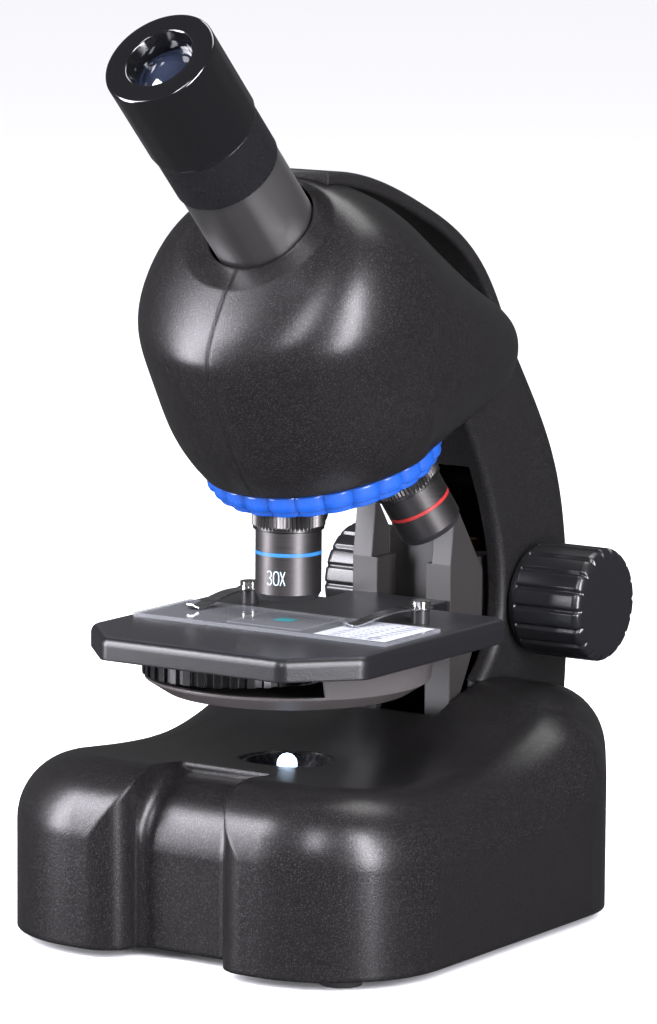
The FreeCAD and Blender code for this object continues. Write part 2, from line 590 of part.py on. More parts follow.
# ------------------------------------------------------------------ optics in the head
def build_tube():
    top = EYE_TOP - TUBE_DIR * (CAP_L + 0.25)
    save("tube_band", tube(BAND_R, TUBE_BORE_R, BAND_L, top - TUBE_DIR * BAND_L, TUBE_DIR))
    start = top - TUBE_DIR * (BAND_L + TUBE_L)
    body = tube(TUBE_R, TUBE_BORE_R, TUBE_L, start, TUBE_DIR)
    flange = tube(TUBE_R + 2.2, TUBE_BORE_R, 2.0, start, TUBE_DIR)
    save("drawtube", cut(fuse(body, flange), head_floor()))
    half, leg = 7.5, 8.0
    lean = math.radians(TUBE_TILT)
    profile = [V(-half, -leg, PRISM_Z - leg), V(-half, leg, PRISM_Z - leg),
               V(-half, leg, PRISM_Z + leg * 0.9), V(-half, leg * 0.35, PRISM_Z + leg * 1.5),
               V(-half, -leg * math.cos(lean) - 2.2, PRISM_Z + leg * math.sin(lean) - 3.0)]
    prism = polygon(profile).extrude(V(2 * half, 0, 0))
    tray = box(-half - 3, half + 3, -leg - 3.0, leg + 2, PRISM_Z - leg - 2, PRISM_Z + 3)
    tray = cut(tray, prism, rod(6.0, 40, V(0, 0, PRISM_Z - 25)),
               rod(TUBE_R + 2.4, 60, start - TUBE_DIR * 0.3, TUBE_DIR))
    post = box(-4, 4, leg + 2, leg + 6, 130, PRISM_Z + 2)
    tray = cut(fuse(tray, post), head_floor())
    save("prism", cut(prism, rod(TUBE_R + 2.4, 60, start - TUBE_DIR * 0.2, TUBE_DIR)))
    save("prism_holder", tray)


def build_eyepiece():
    d = TUBE_DIR
    cap_low = EYE_TOP - d * CAP_L
    recess = Part.makeCone(EYE_HOLE_R - 1.0, EYE_HOLE_R, 2.2, EYE_TOP - d * 2.2, d)
    cap = cut(rod(CAP_R, CAP_L, cap_low, d), recess, rod(EYE_HOLE_R - 1.0, 40, EYE_TOP - d * 42, d))
    edge = [e for e in cap.Edges if abs(e.Length - 2 * math.pi * CAP_R) < 0.01]
    save("eyepiece_cap", cap.makeChamfer(0.5, edge))
    outer = TUBE_BORE_R - BARREL_CLEAR
    barrel = tube(outer, outer - BARREL_WALL, BARREL_L, cap_low - d * BARREL_L, d)
    save("eyepiece_barrel", fuse(barrel, tube(EYE_HOLE_R - 1.0, 6.2, CAP_L - 9, cap_low - d * 0, d),
                                 tube(outer, 6.2, 1.4, cap_low - d * 1.4, d)))
    lens_at = EYE_TOP - d * 8.6
    glass = rod(EYE_HOLE_R - 1.05, 3.2, lens_at, d)
    dome = Part.makeSphere(13.0, lens_at + d * (3.2 + 1.9 - 13.0))
    save("eye_lens", fuse(glass, dome.common(rod(EYE_HOLE_R - 1.05, 9, lens_at + d * 0.5, d))))
    save("field_lens", rod(outer - BARREL_WALL, 3.0, cap_low - d * (BARREL_L - 4.0), d))


# ------------------------------------------------------------------ turret and objectives
def lobed(radius, dip, lobes, height, at):
    """Upright ring of round lobes, as a solid standing on at along the nosepiece's axis."""
    edges = []
    for i in range(lobes):
        a0, a1, a2 = [2 * math.pi * (i + k / 2) / lobes for k in (0, 1, 2)]
        ends = [V((radius - dip) * math.cos(a), (radius - dip) * math.sin(a), 0) for a in (a0, a2)]
        middle = V(radius * math.cos(a1), radius * math.sin(a1), 0)
        edges.append(Part.Arc(ends[0], middle, ends[1]).toShape())
    solid = Part.Face(Part.Wire(edges)).extrude(V(0, 0, height))
    return tilt_nose(solid, at)


def tilt_nose(solid, at):
    solid.rotate(V(0, 0, 0), X, NOSE_TILT)
    solid.translate(at)
    return solid


def objective_frame(solid, third):
    solid.rotate(PIVOT, NOSE_DIR, 120.0 * third)
    return solid


def neck_holes(radius):
    return [objective_frame(rod(radius, 40, V(0, 0, PIVOT_Z - 12)), third) for _, _, third in OBJECTIVES]


def build_turret():
    inner = RING_R - RING_WALL
    ring = fuse(lobed(RING_R - 1.3, 0.7, RING_LOBES, RING_STEP_H, PIVOT),
                lobed(RING_R, 1.0, RING_LOBES, RING_H - RING_STEP_H, PIVOT + NOSE_DIR * RING_STEP_H))
    save("turret_ring", cut(ring, rod(inner, 20, PIVOT - NOSE_DIR, NOSE_DIR)))
    plate_at = PIVOT + NOSE_DIR * (RING_H - TURRET_PLATE_T)
    plate = rod(inner - 0.02, TURRET_PLATE_T, plate_at, NOSE_DIR)
    hub = rod(6.0, 3.0, plate_at - NOSE_DIR * 3.0, NOSE_DIR)
    bore = rod(PIVOT_SCREW_R + RUN_CLEAR, 30, PIVOT - NOSE_DIR * 12, NOSE_DIR)
    save("turret_plate", cut(fuse(plate, hub), bore, *neck_holes(NECK_R)))
    head_at = plate_at - NOSE_DIR * (3.0 + 0.15 + 2.0)
    screw = fuse(rod(4.2, 2.0, head_at, NOSE_DIR), rod(PIVOT_SCREW_R, 12.5, head_at, NOSE_DIR))
    save("pivot_screw", cut(screw, box(-3.2, 3.2, PIVOT_Y - 0.4, PIVOT_Y + 0.4, 90, 113).common(
        rod(9, 1.0, head_at - NOSE_DIR * 0.3, NOSE_DIR))))
    rims, lenses = [], []
    for name, gap, third in OBJECTIVES:
        rim, lens = build_objective(name, gap, third)
        rims.append(rim)
        lenses.append(lens)
    save("objective_rims", *rims)
    save("objective_lenses", *lenses)


def build_objective(name, gap, third):
    """Collar and barrel of one objective, made upright and then turned; returns its front ring and lens."""
    tip, collar_low = SLIDE_TOP + gap, SLIDE_TOP + COLLAR_BOTTOM
    slab = rod(60, 60, PIVOT + NOSE_DIR * (RING_H - TURRET_PLATE_T), NOSE_DIR)
    above = rod(60, 60, PIVOT + NOSE_DIR * RING_H, NOSE_DIR)
    collar = cut(rod(COLLAR_R, 30, V(0, 0, collar_low)), slab, rod(NECK_R, 60, V(0, 0, collar_low)))
    band_z = collar_low - 6.2
    rim_h = 1.6
    barrel = fuse(rod(BODY_R, collar_low - tip - rim_h, V(0, 0, tip + rim_h)),
                  rod(NECK_R - 0.02, 40, V(0, 0, collar_low)).cut(above))
    groove = tube(BODY_R + 1, BODY_R - 0.15, 1.1, V(0, 0, band_z))
    bore = Part.makeCone(2.6, 4.0, 46, V(0, 0, tip - 1))
    save("objective_%s_collar" % name, objective_frame(collar, third))
    save("objective_%s_barrel" % name, objective_frame(cut(barrel, groove, bore), third))
    rim = cut(Part.makeCone(BODY_R - 0.9, BODY_R - 0.1, rim_h, V(0, 0, tip)), bore)
    return objective_frame(rim, third), objective_frame(rod(2.55, 1.6, V(0, 0, tip + 0.5)), third)


# ------------------------------------------------------------------ stage
def stage_outline(inset, z):
    w, f = STAGE_HALF_W - inset, STAGE_FRONT - inset
    fw = STAGE_FRONT_HALF_W - inset * 0.5
    points = [(-fw, -f), (fw, -f), (w, -f + STAGE_CHAMFER), (w, STAGE_BACK - inset),
              (-w, STAGE_BACK - inset),
              (-w, -f + STAGE_CHAMFER)]
    return rounded(points, [4, 4, 5, 6, 6, 5], z)


def build_stage():
    plate = Part.Face(stage_outline(0, STAGE_BOTTOM)).extrude(V(0, 0, STAGE_T))
    top = [e for e in plate.Edges if e.BoundBox.ZMin > STAGE_TOP - 0.01]
    plate = plate.makeFillet(2.2, top)
    pocket = Part.Face(stage_outline(STAGE_SKIN, STAGE_BOTTOM - 1))
    pocket = pocket.extrude(V(0, 0, STAGE_T - STAGE_SKIN + 1))
    posts = [rod(CLIP_POST_R, 20, V(x, CLIP_POST_Y, STAGE_BOTTOM)) for x in (-CLIP_POST_X, CLIP_POST_X)]
    tongue = box(-CARRIAGE_HALF_W + 1, CARRIAGE_HALF_W - 1, STAGE_BACK - STAGE_SKIN - 1, CARRIAGE_FRONT,
                 STAGE_TOP - STAGE_SKIN, STAGE_TOP)
    save("stage_plate", cut(fuse(plate, tongue), pocket, rod(STAGE_HOLE_R, 20, V(0, 0, STAGE_BOTTOM)),
                            *posts))

    wall_low, wall_top = STAGE_BOTTOM - DISH_DEPTH, STAGE_TOP - STAGE_SKIN
    outer = fuse(Part.makeCone(DISH_BOTTOM_R, DISH_R - 1.5, 3.2, V(0, 0, wall_low)),
                 Part.makeCone(DISH_R - 1.5, DISH_R, wall_top - wall_low - 3.2, V(0, 0, wall_low + 3.2)))
    t = DISH_WALL
    inner = fuse(Part.makeCone(DISH_BOTTOM_R - t + 1, DISH_R - 1.5 - t, 3.2 - t, V(0, 0, wall_low + t)),
                 Part.makeCone(DISH_R - 1.5 - t, DISH_R - t, wall_top - wall_low - 3.2,
                               V(0, 0, wall_low + 3.2)))
    window = box(-60, 27, -60, 60, wall_low + 3.9, STAGE_BOTTOM + 0.1).common(
        box(-60, 60, -60, 14, 0, 100))
    dish = cut(outer, inner, window, rod(STAGE_HOLE_R - 1, 20, V(0, 0, wall_low - 5)))
    post = rod(3.0, WHEEL_Z - WHEEL_T / 2 - SLACK - wall_low - t, V(WHEEL_X, WHEEL_Y, wall_low + t))
    post = cut(post, rod(1.2, 20, V(WHEEL_X, WHEEL_Y, wall_low + t + 1)))
    arms = [box(x0, x1, 30, CARRIAGE_FRONT, wall_low + 1, STAGE_BOTTOM - 0.1) for x0, x1 in
            ((-CARRIAGE_HALF_W, -CARRIAGE_SLOT_HALF_W), (CARRIAGE_SLOT_HALF_W, CARRIAGE_HALF_W))]
    arms = [cut(a, outer) for a in arms]
    save("wheel_housing", fuse(cut(dish, post), post, *arms))

    low = WHEEL_Z - WHEEL_T / 2
    wheel = lobed_flat(WHEEL_R, 0.8, 36, WHEEL_T, V(WHEEL_X, WHEEL_Y, low))
    holes = wheel_places()
    bores = [rod(WHEEL_HOLE_R, 20, V(x, y, low - 5)) for x, y in holes]
    seats = [rod(WHEEL_HOLE_R + 0.8, 1.0, V(x, y, low + WHEEL_T - 1.6)) for x, y in holes[:4]]
    hub = rod(WHEEL_SCREW_R + RUN_CLEAR, 20, V(WHEEL_X, WHEEL_Y, low - 5))
    save("filter_wheel", cut(wheel, hub, *(bores + seats)))
    save("colour_filters", *[rod(WHEEL_HOLE_R + 0.75, 0.9, V(x, y, low + WHEEL_T - 1.55))
                             for x, y in holes[:4]])
    z = low + WHEEL_T + 0.15
    shaft = rod(WHEEL_SCREW_R, WHEEL_T + SLACK + 1.2 + 0.15, V(WHEEL_X, WHEEL_Y, low - SLACK - 1.2))
    save("wheel_screw", cut(fuse(shaft, rod(2.6, 1.2, V(WHEEL_X, WHEEL_Y, z))),
                            box(WHEEL_X - 2, WHEEL_X + 2, WHEEL_Y - 0.3, WHEEL_Y + 0.3, z + 0.7, z + 9)))


def wheel_places():
    """Middles of the wheel's holes; the first lies on the optical axis."""
    reach, start = math.hypot(WHEEL_X, WHEEL_Y), math.atan2(-WHEEL_Y, -WHEEL_X)
    return [(WHEEL_X + reach * math.cos(start + 2 * math.pi * i / WHEEL_HOLES),
             WHEEL_Y + reach * math.sin(start + 2 * math.pi * i / WHEEL_HOLES)) for i in range(WHEEL_HOLES)]


def lobed_flat(radius, dip, lobes, height, at):
    """Thumbwheel blank: a disc with square ribs round its edge."""
    points = []
    for i in range(lobes):
        for share, r in ((0.0, radius), (0.5, radius), (0.5, radius - dip), (1.0, radius - dip)):
            a = 2 * math.pi * (i + share) / lobes
            points.append(at + V(r * math.cos(a), r * math.sin(a), 0))
    return polygon(points).extrude(V(0, 0, height))


def build_clips():
    """Sprung steel clip: flat bar from a post's ring, bent down and curled up at the tip."""
    top = SLIDE_TOP + CLIP_LIFT
    for name, side, angle in (("left", -1, CLIP_LEFT_TURN), ("right", 1, CLIP_RIGHT_TURN)):
        x, y = side * CLIP_POST_X, CLIP_POST_Y
        ring = tube(CLIP_RING_R, CLIP_POST_R + RUN_CLEAR, CLIP_T, V(x, y, top))
        w = CLIP_W / 2
        run = [(CLIP_RING_R - 0.8, top), (CLIP_L - 6, SLIDE_TOP + 0.35), (CLIP_L - 2.5, SLIDE_TOP + 0.05),
               (CLIP_L, SLIDE_TOP + 1.3)]
        outline = [V(x - w, y - a, z) for a, z in run] + [V(x - w, y - a, z + CLIP_T) for a, z in run[::-1]]
        bar = polygon(outline).extrude(V(2 * w, 0, 0))
        clip = cut(fuse(ring, bar), rod(CLIP_POST_R + RUN_CLEAR, 9, V(x, y, top - 3)))
        clip.rotate(V(x, y, 0), Z, angle)
        save("clip_" + name, clip)
    posts = []
    for x in (-CLIP_POST_X, CLIP_POST_X):
        post = fuse(rod(CLIP_POST_R, top + CLIP_T + 0.1 - STAGE_BOTTOM - 1,
                        V(x, CLIP_POST_Y, STAGE_BOTTOM + 1)),
                    tube(CLIP_POST_R + 0.8, CLIP_POST_R - 0.5, top - 0.1 - STAGE_TOP,
                         V(x, CLIP_POST_Y, STAGE_TOP)),
                    rod(CLIP_POST_R + 1.0, 1.5, V(x, CLIP_POST_Y, top + CLIP_T + 0.1)))
        posts.append(post)
    save("clip_screws", *posts)


def build_slide():
    top = SLIDE_TOP
    half_l, half_w = SLIDE_L / 2, SLIDE_W / 2
    save("specimen_slide", box(-half_l, half_l, SLIDE_Y - half_w, SLIDE_Y + half_w, STAGE_TOP, top - 0.02))
    save("cover_glass", box(-11, 11, SLIDE_Y - 10, SLIDE_Y + 10, top - 0.02, top + 0.02 + COVER_T))
    save("slide_label", box(half_l - 22, half_l - 1, SLIDE_Y - half_w + 1, SLIDE_Y + half_w - 1,
                            top - 0.02, top + 0.01))


# ------------------------------------------------------------------ carriage and focus drive
def rack_teeth():
    """Centres of the rack's teeth; a gap faces the pinion's axis at rest."""
    pitch = math.pi * MODULE
    low = KNOB_Z - LIFT_UP - 2.5 * pitch
    count = int((LIFT_UP + LIFT_DOWN) / pitch) + 5
    first = KNOB_Z + pitch * (math.floor((low - KNOB_Z) / pitch) + 0.5)
    return [first + pitch * i for i in range(count)]


def build_carriage():
    f, b, w = CARRIAGE_FRONT, CARRIAGE_BACK, CARRIAGE_HALF_W
    block = extrude_x([(f + 2, 104), (f, 88), (f, CARRIAGE_BOTTOM), (b - 14, CARRIAGE_BOTTOM), (b, 72),
                       (b, 85)], w)
    slot = box(-CARRIAGE_SLOT_HALF_W, CARRIAGE_SLOT_HALF_W, f - 9, CARRIAGE_WEB_Y, 0, 120)
    throat = box(-BODY_R - 0.9, BODY_R + 0.9, f - 9, CARRIAGE_WEB_Y, 88, 120)
    half = SLIDER_HALF_W
    low, high = KNOB_Z - LIFT_UP - 8, KNOB_Z + LIFT_DOWN + 2
    tail = box(-half, half, b, RAIL_Y + RAIL_DEPTH - 1, low, high)
    bed = box(-RACK_HALF_W, RACK_HALF_W, RAIL_Y + 2, RAIL_Y + 20, 0, 120)
    save("stage_carriage", fuse(cut(block, slot, throat), cut(tail, bed)))

    teeth = rack_teeth()
    pitch, line = math.pi * MODULE, KNOB_Y - PINION_R
    thick = TOOTH_SHARE * pitch / 4
    slope = math.tan(math.radians(PRESSURE_ANGLE))
    root, tip = line - DEDENDUM * MODULE, line + ADDENDUM * MODULE
    outline = [(RAIL_Y + 2, teeth[0] - pitch / 2), (root, teeth[0] - pitch / 2)]
    for z in teeth:
        for y, side in ((root, -1), (tip, -1), (tip, 1), (root, 1)):
            outline.append((y, z + side * (thick - (y - line) * slope)))
    outline += [(root, teeth[-1] + pitch / 2), (RAIL_Y + 2, teeth[-1] + pitch / 2)]
    save("rack", extrude_x(outline, RACK_HALF_W - 0.02))


def build_focus():
    shaft_half = ARM_HALF_W + KNOB_GAP + KNOB_L - 5
    save("focus_shaft", rod(SHAFT_R, 2 * shaft_half, V(-shaft_half, KNOB_Y, KNOB_Z), X))
    r, base = PINION_R, PINION_R * math.cos(math.radians(PRESSURE_ANGLE))

    def inv(a):
        return math.tan(a) - a

    half0 = TOOTH_SHARE * math.pi * MODULE / 4 / r + inv(math.radians(PRESSURE_ANGLE))
    tip, root = r + ADDENDUM * MODULE, r - DEDENDUM * MODULE
    flank = [base + (tip - base) * k / 4 for k in range(5)]
    points = []
    for i in range(PINION_TEETH):
        mid = math.pi + 2 * math.pi * i / PINION_TEETH
        rising = [(root, half0)] + [(p, half0 - inv(math.acos(base / p))) for p in flank]
        for p, half in [(p, -h) for p, h in rising] + rising[::-1]:
            points.append(V(-RACK_HALF_W, KNOB_Y + p * math.cos(mid + half),
                            KNOB_Z + p * math.sin(mid + half)))
    gear = polygon(points).extrude(V(2 * RACK_HALF_W, 0, 0))
    save("pinion", cut(gear, rod(SHAFT_R, 60, V(-30, KNOB_Y, KNOB_Z), X)))

    knob = knob_solid()
    save("knob_right", knob)
    mirrored = knob.mirror(V(0, 0, 0), X)
    save("knob_left", mirrored)


def knob_solid():
    inner = ARM_HALF_W + KNOB_GAP
    at = V(inner, KNOB_Y, KNOB_Z)
    form = rod(KNOB_R, KNOB_L, at, X)
    outer_edge = [e for e in form.Edges if e.BoundBox.XMin > inner + KNOB_L - 0.1]
    form = form.makeFillet(2.6, outer_edge)
    inner_edge = [e for e in form.Edges if e.BoundBox.XMax < inner + 0.1]
    form = form.makeChamfer(1.2, inner_edge)
    grooves = []
    for i in range(KNOB_FLUTES):
        groove = box(inner + 1.8, inner + KNOB_L + 1, -FLUTE_W / 2, FLUTE_W / 2,
                     KNOB_R - FLUTE_DEPTH, KNOB_R + 2)
        groove.rotate(V(0, 0, 0), X, 360.0 * i / KNOB_FLUTES)
        groove.translate(V(0, KNOB_Y, KNOB_Z))
        grooves.append(groove)
    return cut(form, rod(SHAFT_R, KNOB_L - 5, at, X), *grooves)


def build_detent():
    """Leaf spring and ball that click the turret into place."""
    top = RING_H + HEAD_RIM_GAP + FLOOR_RISE
    leaf = box(-2.5, 2.5, 9, 24, top - 0.35, top)
    ball = Part.makeSphere(0.75, V(0, 20.5, RING_H + 0.1 + 0.75))
    save("detent_spring", tilt_nose(fuse(leaf, ball), PIVOT))


for build in (build_base, build_electrics, build_arm, build_head, build_tube, build_eyepiece, build_turret,
              build_detent, build_stage, build_clips, build_slide, build_carriage, build_focus):
    build()
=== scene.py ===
"""A compact student microscope: finishes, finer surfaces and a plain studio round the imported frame."""
import math

import bmesh
import bpy
import numpy as np
from mathutils import Matrix, Vector


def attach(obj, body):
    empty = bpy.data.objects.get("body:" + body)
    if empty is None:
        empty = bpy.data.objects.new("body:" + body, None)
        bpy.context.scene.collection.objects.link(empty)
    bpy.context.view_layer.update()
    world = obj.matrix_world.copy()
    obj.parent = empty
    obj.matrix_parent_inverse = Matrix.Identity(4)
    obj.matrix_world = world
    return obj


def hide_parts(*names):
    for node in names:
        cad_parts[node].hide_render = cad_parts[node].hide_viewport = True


bl_info = {
    "name": "Student microscope",
    "version": (1, 0, 0),
    "blender": (4, 5, 0),
    "location": "View3D > Sidebar > Microscope",
    "description": "Builds the look of a compact student microscope round its jointed frame",
    "category": "Object",
}

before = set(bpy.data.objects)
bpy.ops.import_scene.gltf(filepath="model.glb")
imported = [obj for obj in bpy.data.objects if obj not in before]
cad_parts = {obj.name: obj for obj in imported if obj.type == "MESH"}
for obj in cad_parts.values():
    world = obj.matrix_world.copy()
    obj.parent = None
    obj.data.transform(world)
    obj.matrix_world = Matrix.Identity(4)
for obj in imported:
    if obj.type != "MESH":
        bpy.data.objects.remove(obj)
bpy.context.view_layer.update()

# Sizes are in millimetres about the optical axis (x = 0, y = 0, z = 0 on the table); SHIFT_Y moves them into
# the frame, whose origin is the middle of the footprint.
MM = 0.001
SHIFT_Y = -23.1145
EYE_TILT, EYE_LENGTH, PRISM_Z = 45.2, 79.9, 167.0
NOSE_TILT, PIVOT = 18.0, (0.0, 16.7, 115.9)
KNOB_AT, KNOB_INNER = (90.0, 75.0), 17.8
KNOB_R, KNOB_L = 14.9, 22.4
CAP_R, CAP_L = 14.22, 25.6
SLIDE_TOP, COLLAR_LOW = 79.7, 102.9
COLLAR_R, BARREL_R = 9.25, 8.35
NUMBER_RISE = 10.0          # the number's foot above the slide
NUMBER_FACING = -79.0       # where the number faces round its objective, degrees
WHEEL_AT = (-9.3, -8.7)     # axis of the filter wheel
CLIP_POST = (26.0, 21.0)
OBJECTIVES = (("low", 5.8, 0, (0.01, 0.10, 0.26)), ("mid", 9.6, 1, (0.22, 0.01, 0.01)),
              ("high", 8.2, -1, (0.35, 0.25, 0.02)))
TAU = 2 * math.pi


# ------------------------------------------------------------------ surfaces
def axis_frame(origin, axis, hint=(1.0, 0.0, 0.0)):
    """Origin and three unit vectors: two across an axis and the axis itself."""
    w = np.array(axis, float) / np.linalg.norm(axis)
    u = np.array(hint, float)
    u = u - w * (u @ w)
    u /= np.linalg.norm(u)
    return np.array(origin, float), u, np.cross(w, u), w


def turned(profile, at, count=96, radius=None):
    """Surface of revolution: the profile's radius and height carried round the axis; radius(r, height, angle)
    may change the radius from place to place."""
    origin, u, v, w = at
    r, h = np.array(profile, float).T
    a = np.arange(count) * TAU / count
    rr = np.repeat(r[:, None], count, 1)
    hh = np.repeat(h[:, None], count, 1)
    aa = np.repeat(a[None, :], len(r), 0)
    if radius is not None:
        rr = radius(rr, hh, aa)
    return (origin + rr[..., None] * (np.cos(aa)[..., None] * u + np.sin(aa)[..., None] * v)
            + hh[..., None] * w)


def arc(cx, cy, r, start, end, count=6):
    """Points of a circle's arc, angles in degrees."""
    t = np.radians(np.linspace(start, end, count))
    return [(cx + r * math.cos(a), cy + r * math.sin(a)) for a in t]


def dense(points, step):
    """The same polyline with no run longer than step."""
    out = [points[0]]
    for a, b in zip(points, points[1:]):
        n = max(1, math.ceil(math.dist(a, b) / step))
        out += [(a[0] + (b[0] - a[0]) * k / n, a[1] + (b[1] - a[1]) * k / n) for k in range(1, n + 1)]
    return out


def make_piece(name, grids, material, body, wrap=(False, True), sharp=35.0, replaces=()):
    """One mesh from grids of points in millimetres; rows and columns may wrap.  Doubled points, such as a
    pole's, are merged and the faces are turned outwards."""
    verts, faces, base = [], [], 0
    for grid in grids:
        n, m = grid.shape[:2]
        index = base + np.arange(n * m).reshape(n, m)
        rows = np.arange(n if wrap[0] else n - 1)
        cols = np.arange(m if wrap[1] else m - 1)
        i, j = np.meshgrid(rows, cols, indexing="ij")
        i2, j2 = (i + 1) % n, (j + 1) % m
        faces.append(np.stack([index[i, j], index[i, j2], index[i2, j2], index[i2, j]], -1).reshape(-1, 4))
        verts.append(grid.reshape(-1, 3))
        base += n * m
    points = np.concatenate(verts) + np.array([0.0, SHIFT_Y, 0.0])
    mesh = bpy.data.meshes.new(name)
    mesh.from_pydata((points * MM).tolist(), [], np.concatenate(faces).tolist())
    work = bmesh.new()
    work.from_mesh(mesh)
    bmesh.ops.remove_doubles(work, verts=work.verts, dist=1e-7)
    bmesh.ops.dissolve_degenerate(work, edges=work.edges, dist=1e-8)
    bmesh.ops.recalc_face_normals(work, faces=work.faces)
    work.to_mesh(mesh)
    work.free()
    mesh.shade_smooth()
    mesh.set_sharp_from_angle(angle=math.radians(sharp))
    mesh.materials.append(material)
    obj = bpy.data.objects.new(name, mesh)
    bpy.context.scene.collection.objects.link(obj)
    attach(obj, body)
    if replaces:
        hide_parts(*replaces)
    return obj


def nose_axis():
    t = math.radians(NOSE_TILT)
    return Vector((0.0, -math.sin(t), math.cos(t)))


def objective_at(third):
    """Frame of an objective's own axis, a third of a turn on about the nosepiece's axis."""
    turn = Matrix.Rotation(TAU / 3 * third, 3, nose_axis())
    pivot = Vector(PIVOT)
    origin = turn @ (Vector((0, 0, 0)) - pivot) + pivot
    return axis_frame(origin, turn @ Vector((0, 0, 1)), turn @ Vector((1, 0, 0)))


def eye_at(distance):
    """Frame on the tube's axis, a distance below the eyepiece's top face."""
    t = math.radians(EYE_TILT)
    d = np.array([0.0, -math.sin(t), math.cos(t)])
    return axis_frame(np.array([0, 0, PRISM_Z]) + d * (EYE_LENGTH - distance), d)


# ------------------------------------------------------------------ shader expressions
class Value:
    """A shader socket that can be used in Python expressions; each operation adds its Math node."""

    def __init__(self, look, socket):
        self.look, self.socket = look, socket

    def _op(self, kind, *args):
        return self.look.node("ShaderNodeMath", {"operation": kind}, dict(enumerate(args)))

    def __add__(self, other):
        return self._op("ADD", self, other)

    def __sub__(self, other):
        return self._op("SUBTRACT", self, other)

    def __rsub__(self, other):
        return self._op("SUBTRACT", other, self)

    def __mul__(self, other):
        return self._op("MULTIPLY", self, other)

    def __truediv__(self, other):
        return self._op("DIVIDE", self, other)

    def power(self, other):
        return self._op("POWER", self, other)

    def above(self, other):
        return self._op("GREATER_THAN", self, other)

    def below(self, other):
        return self._op("LESS_THAN", self, other)

    def between(self, low, high):
        return self.above(low) * self.below(high)

    def wrapped(self, low, high):
        return self._op("WRAP", self, high, low)

    __radd__, __rmul__ = __add__, __mul__


class Tree:
    """A node tree and the means to add nodes to it."""

    def __init__(self, tree):
        self.tree = tree

    def plug(self, socket, value):
        if isinstance(value, Value):
            self.tree.links.new(value.socket, socket)
        elif isinstance(value, (tuple, list)) and len(value) == 3 and socket.type == "RGBA":
            socket.default_value = (*value, 1.0)
        else:
            socket.default_value = value

    def node(self, kind, settings=None, inputs=None, out=0):
        made = self.tree.nodes.new(kind)
        for key, value in (settings or {}).items():
            setattr(made, key, value)
        for key, value in (inputs or {}).items():
            self.plug(made.inputs[key], value)
        return Value(self, made.outputs[out])


class Look(Tree):
    """A material with a principled shader and the means to write its values as expressions."""

    def __init__(self, name, color, rough, metallic=0.0, coat=0.0, alpha=1.0, specular=0.5, coat_rough=0.1):
        self.material = bpy.data.materials.new(name)
        self.material.use_nodes = True
        super().__init__(self.material.node_tree)
        self.shader = self.tree.nodes["Principled BSDF"]
        self.set(**{"Base Color": color, "Roughness": rough, "Metallic": metallic, "Coat Weight": coat,
                    "Coat Roughness": coat_rough, "Alpha": alpha, "Specular IOR Level": specular})

    def set(self, **values):
        for key, value in values.items():
            self.plug(self.shader.inputs[key], value)

    def place(self, scale=(1.0, 1.0, 1.0), turn=(0.0, 0.0, 0.0), shift=(0.0, 0.0, 0.0)):
        """Object coordinates, moved, then turned, then scaled."""
        here = self.node("ShaderNodeTexCoord", out="Object")
        moved = self.node("ShaderNodeMapping", {}, {"Vector": here, "Location": shift})
        return self.node("ShaderNodeMapping", {}, {"Vector": moved, "Rotation": turn, "Scale": scale})

    def xyz(self, vector):
        split = self.node("ShaderNodeSeparateXYZ", {}, {"Vector": vector})
        return [Value(self, split.socket.node.outputs[k]) for k in range(3)]

    def noise(self, scale, detail=2.0, vector=None):
        return self.node("ShaderNodeTexNoise", {}, {"Vector": vector or self.place(), "Scale": scale,
                                                    "Detail": detail})

    def mix(self, amount, a, b):
        return self.node("ShaderNodeMix", {"data_type": "RGBA"}, {0: amount, 6: a, 7: b}, out=2)

    def bump(self, height, strength, depth):
        return self.set(Normal=self.node("ShaderNodeBump", {}, {"Strength": strength, "Distance": depth,
                                                                "Height": height}))


def plain(name, color, rough, grain=0.0, grain_scale=900.0, spread=0.05, tint=0.12, **kw):
    """Moulded or painted surface whose colour and roughness drift a little, over a fine grain."""
    look = Look(name, color, rough, **kw)
    drift = look.noise(28.0, 3.0)
    fine = look.noise(grain_scale, 2.0)
    look.set(**{"Roughness": drift * spread + fine * spread + (rough - spread),
                "Base Color": look.mix(fine * 0.6 + drift * 0.4, tuple(c * (1 - tint) for c in color),
                                       tuple(min(1.0, c * (1 + tint)) for c in color))})
    if grain:
        look.bump(fine, grain, 0.0002)
    return look


def speckled(name, color, fleck, rough, metallic=0.0):
    """Fine-textured plastic with small pale flecks."""
    look = Look(name, color, rough, metallic=metallic, specular=0.4)
    fleck_mask = look.noise(3600.0, 1.0).above(0.6) * 0.12
    drift = look.noise(30.0, 3.0)
    look.set(**{"Base Color": look.mix(fleck_mask, color, fleck), "Roughness": drift * 0.08 + (rough - 0.04)})
    look.bump(look.noise(1900.0, 2.0), 0.22, 0.00012)
    return look


def brushed(name, color, rough, axis_scale, vector=None):
    """Metal with fine streaks that run across the stretched direction."""
    look = Look(name, color, rough, metallic=1.0)
    streak = look.noise(1.0, 3.0, vector or look.place(scale=axis_scale))
    look.set(**{"Roughness": streak * 0.22 + (rough - 0.1),
                "Base Color": look.mix(streak, tuple(c * 0.78 for c in color), color)})
    look.bump(streak, 0.08, 0.0001)
    return look


